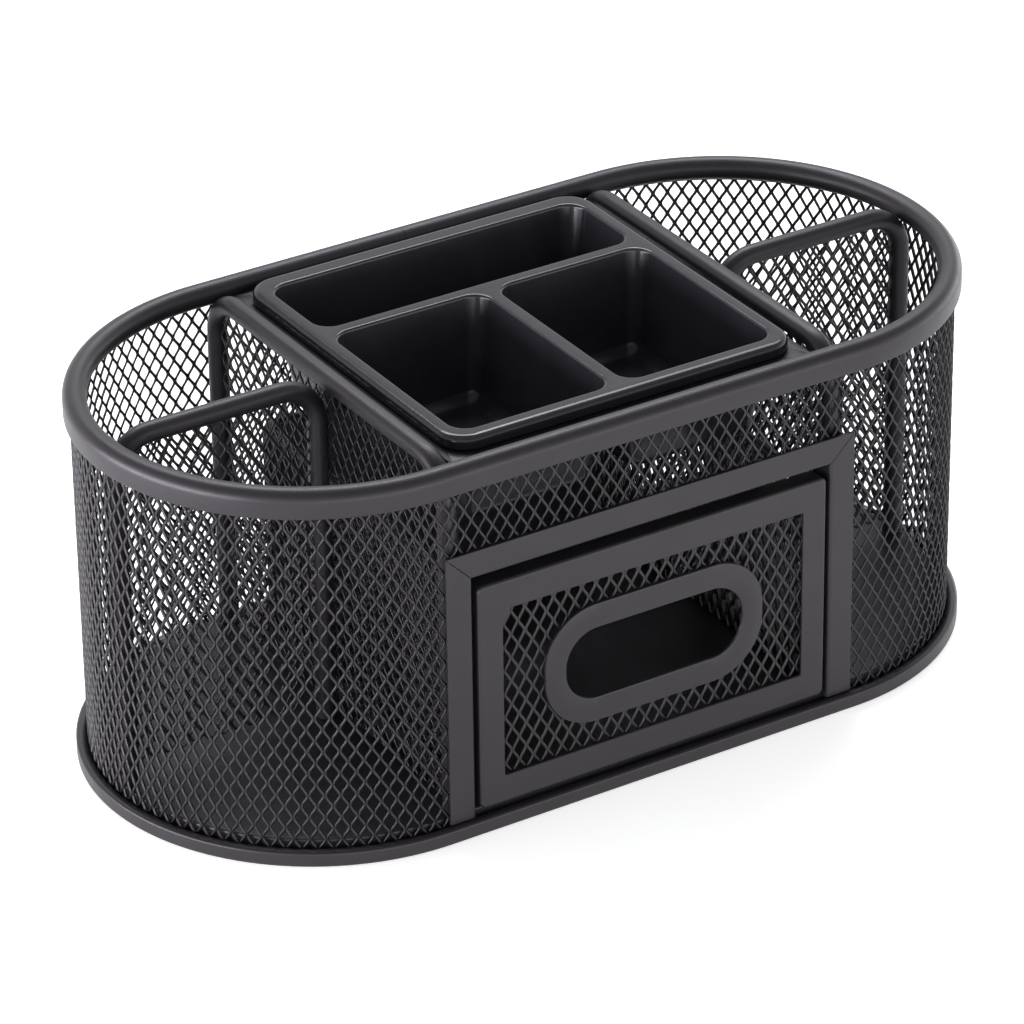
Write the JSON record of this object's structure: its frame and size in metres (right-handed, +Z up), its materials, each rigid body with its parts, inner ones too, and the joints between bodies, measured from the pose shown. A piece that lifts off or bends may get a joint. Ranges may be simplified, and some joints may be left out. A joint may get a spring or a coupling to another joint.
{
  "type": "desk organizer",
  "caption": "Oval expanded-mesh desk organizer with tube-edged dividers, a pull-out mesh drawer in a folded frame and a lift-out moulded tray.",
  "frame": {"origin": "centre of the footprint, on the surface the organizer stands on", "axes": "+X along the length to the right, -Y towards the user on the drawer side, +Z up"},
  "size_m": [0.281, 0.143, 0.118],
  "materials": {
    "powder_coated_steel": "satin black powder coat with a fine texture",
    "coated_mesh": "satin black powder coat over expanded steel mesh",
    "tray_plastic": "smooth semi-gloss moulded black plastic"
  },
  "bodies": {
    "body": {"base_pan": "powder_coated_steel", "top_rim": "powder_coated_steel", "cross_divider_tube_left": "powder_coated_steel", "cross_divider_tube_right": "powder_coated_steel", "end_divider_tube_left": "powder_coated_steel", "end_divider_tube_right": "powder_coated_steel", "drawer_frame_top_rail": "powder_coated_steel", "drawer_frame_jamb_left": "powder_coated_steel", "drawer_frame_jamb_right": "powder_coated_steel", "drawer_stop_tab": "powder_coated_steel", "drawer_runner_left": "powder_coated_steel", "drawer_runner_right": "powder_coated_steel", "tray_ledge_frame": "powder_coated_steel", "wall_mesh": "coated_mesh", "cross_divider_mesh_left": "coated_mesh", "cross_divider_mesh_right": "coated_mesh", "end_divider_mesh_left": "coated_mesh", "end_divider_mesh_right": "coated_mesh"},
    "drawer": {"drawer_front_border": "powder_coated_steel", "drawer_front_mesh": "coated_mesh", "finger_pull_ring": "powder_coated_steel", "drawer_floor": "powder_coated_steel", "drawer_side_mesh_left": "coated_mesh", "drawer_side_mesh_right": "coated_mesh", "drawer_back": "powder_coated_steel", "drawer_edge_wire": "powder_coated_steel"},
    "tray": {"organizer_tray": "tray_plastic"}
  },
  "joints": [
    {"name": "drawer_slide", "type": "slide", "parent": "body", "child": "drawer", "axis": [0, -1, 0], "range_m": [0, 0.107]},
    {"name": "tray_lift", "type": "slide", "parent": "body", "child": "tray", "axis": [0, 0, 1], "range_m": [0, 0.045]}
  ]
}
